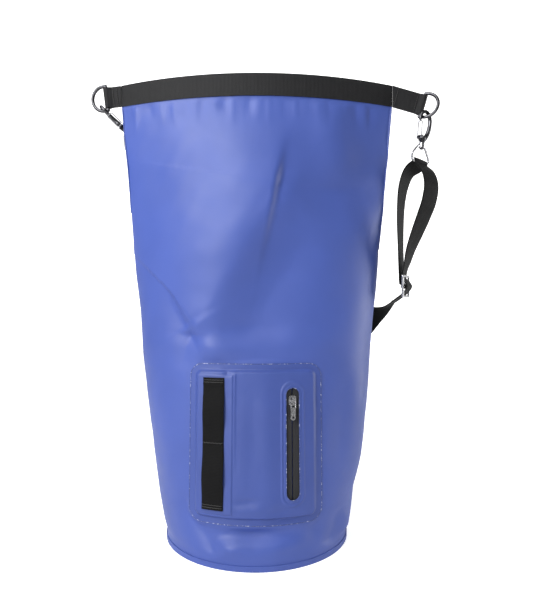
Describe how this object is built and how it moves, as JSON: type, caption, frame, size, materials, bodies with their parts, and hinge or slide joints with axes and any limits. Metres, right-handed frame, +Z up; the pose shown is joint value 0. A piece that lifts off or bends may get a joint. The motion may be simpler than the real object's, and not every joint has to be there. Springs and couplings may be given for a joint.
{
  "type": "dry bag",
  "caption": "Tall roll-top dry bag standing open and unrolled, with welded base and zip pocket, daisy chain, D-rings at the mouth and a clip-on shoulder strap.",
  "frame": {"origin": "centre of the base where it stands on the ground", "axes": "+Z up the bag, -Y out of the pocket side, +X to the right seen from the pocket side"},
  "size_m": [0.4303, 0.2216, 0.5527],
  "materials": {
    "tarpaulin": "coated fabric, satin",
    "webbing": "ribbed polyester webbing",
    "thread": "bonded thread",
    "stiffener": "matte",
    "zip_teeth": "satin",
    "dark_metal": "gunmetal plated",
    "bright_metal": "nickel plated"
  },
  "bodies": {
    "bag": {"bag_tube": "tarpaulin", "back_seam_tape": "tarpaulin", "base_disc": "tarpaulin", "base_seam_tape": "tarpaulin", "front_band": "webbing", "back_band": "webbing", "front_stiffener": "stiffener", "back_stiffener": "stiffener", "left_tab": "webbing", "right_tab": "webbing", "left_tab_stitching": "thread", "right_tab_stitching": "thread", "pocket_panel": "tarpaulin", "pocket_reinforcement": "tarpaulin", "daisy_chain": "webbing", "daisy_bartacks": "thread", "zipper_window_weld": "tarpaulin", "zipper_tape_left": "webbing", "zipper_tape_right": "webbing", "zipper_coil": "zip_teeth", "zipper_stops": "zip_teeth", "strap_run": "webbing"},
    "zip_slider": {"zipper_slider": "bright_metal"},
    "zip_pull": {"zipper_pull": "bright_metal"},
    "left_ring": {"left_d_ring": "dark_metal"},
    "left_strap": {"left_stirrup": "bright_metal", "strap_left_end": "webbing", "strap_end_stitching": "thread"},
    "left_hook": {"left_hook": "dark_metal", "left_gate_pin": "bright_metal", "left_swivel_post": "dark_metal"},
    "left_gate": {"left_gate": "bright_metal"},
    "right_ring": {"right_d_ring": "dark_metal"},
    "right_strap": {"right_stirrup": "bright_metal", "strap_loop": "webbing", "strap_sewn_end": "webbing", "strap_slider": "bright_metal"},
    "right_hook": {"right_hook": "dark_metal", "right_gate_pin": "bright_metal", "right_swivel_post": "dark_metal"},
    "right_gate": {"right_gate": "bright_metal"}
  },
  "joints": [
    {"name": "zip_slide", "type": "slide", "parent": "bag", "child": "zip_slider", "axis": [0, 0.1321, 0.9912], "range_m": [-0.09, 0.004]},
    {"name": "pull_flip", "type": "hinge", "parent": "zip_slider", "child": "zip_pull", "pos_m": [0.04112, -0.08495, 0.17655], "axis": [-0.9756, -0.2178, 0.029], "range_deg": [0, 150]},
    {"name": "left_strap_swing", "type": "hinge", "parent": "bag", "child": "left_strap", "pos_m": [-0.18567, 0, 0.53581], "axis": [-0.1219, 0, 0.9925], "range_deg": [0, 25], "deforming": ["strap_run"]},
    {"name": "left_ring_swing", "type": "hinge", "parent": "bag", "child": "left_ring", "pos_m": [-0.18567, 0, 0.53581], "axis": [-0.1219, 0, 0.9925], "range_deg": [0, 25]},
    {"name": "left_hook_swivel", "type": "hinge", "parent": "left_strap", "child": "left_hook", "pos_m": [-0.16641, 0.0115, 0.49997], "axis": [-0.6929, -0.2945, 0.6582], "range_deg": [-6, 6]},
    {"name": "left_gate_open", "type": "hinge", "parent": "left_hook", "child": "left_gate", "pos_m": [-0.16986, 0.00522, 0.50325], "axis": [-0.6887, 0, -0.725], "range_deg": [0, 24], "stiffness_Nm_per_rad": 0.02, "springref_deg": -20.05},
    {"name": "right_strap_swing", "type": "hinge", "parent": "bag", "child": "right_strap", "pos_m": [0.20481, 0, 0.52739], "axis": [0.2756, 0, 0.9613], "range_deg": [-35, 20], "deforming": ["strap_run"]},
    {"name": "right_ring_swing", "type": "hinge", "parent": "bag", "child": "right_ring", "pos_m": [0.20481, 0, 0.52739], "axis": [0.2756, 0, 0.9613], "range_deg": [-35, 20]},
    {"name": "right_hook_swivel", "type": "hinge", "parent": "right_strap", "child": "right_hook", "pos_m": [0.20356, -0.00406, 0.47979], "axis": [0.1178, 0, 0.993], "range_deg": [-6, 6]},
    {"name": "right_gate_open", "type": "hinge", "parent": "right_hook", "child": "right_gate", "pos_m": [0.20028, -0.00623, 0.48663], "axis": [-0.4687, 0.8816, 0.0556], "range_deg": [0, 24], "stiffness_Nm_per_rad": 0.02, "springref_deg": -20.05}
  ],
  "couplings": [
    {"joint": "left_ring_swing", "follows": "left_strap_swing", "ratio": 1},
    {"joint": "right_ring_swing", "follows": "right_strap_swing", "ratio": 1}
  ]
}
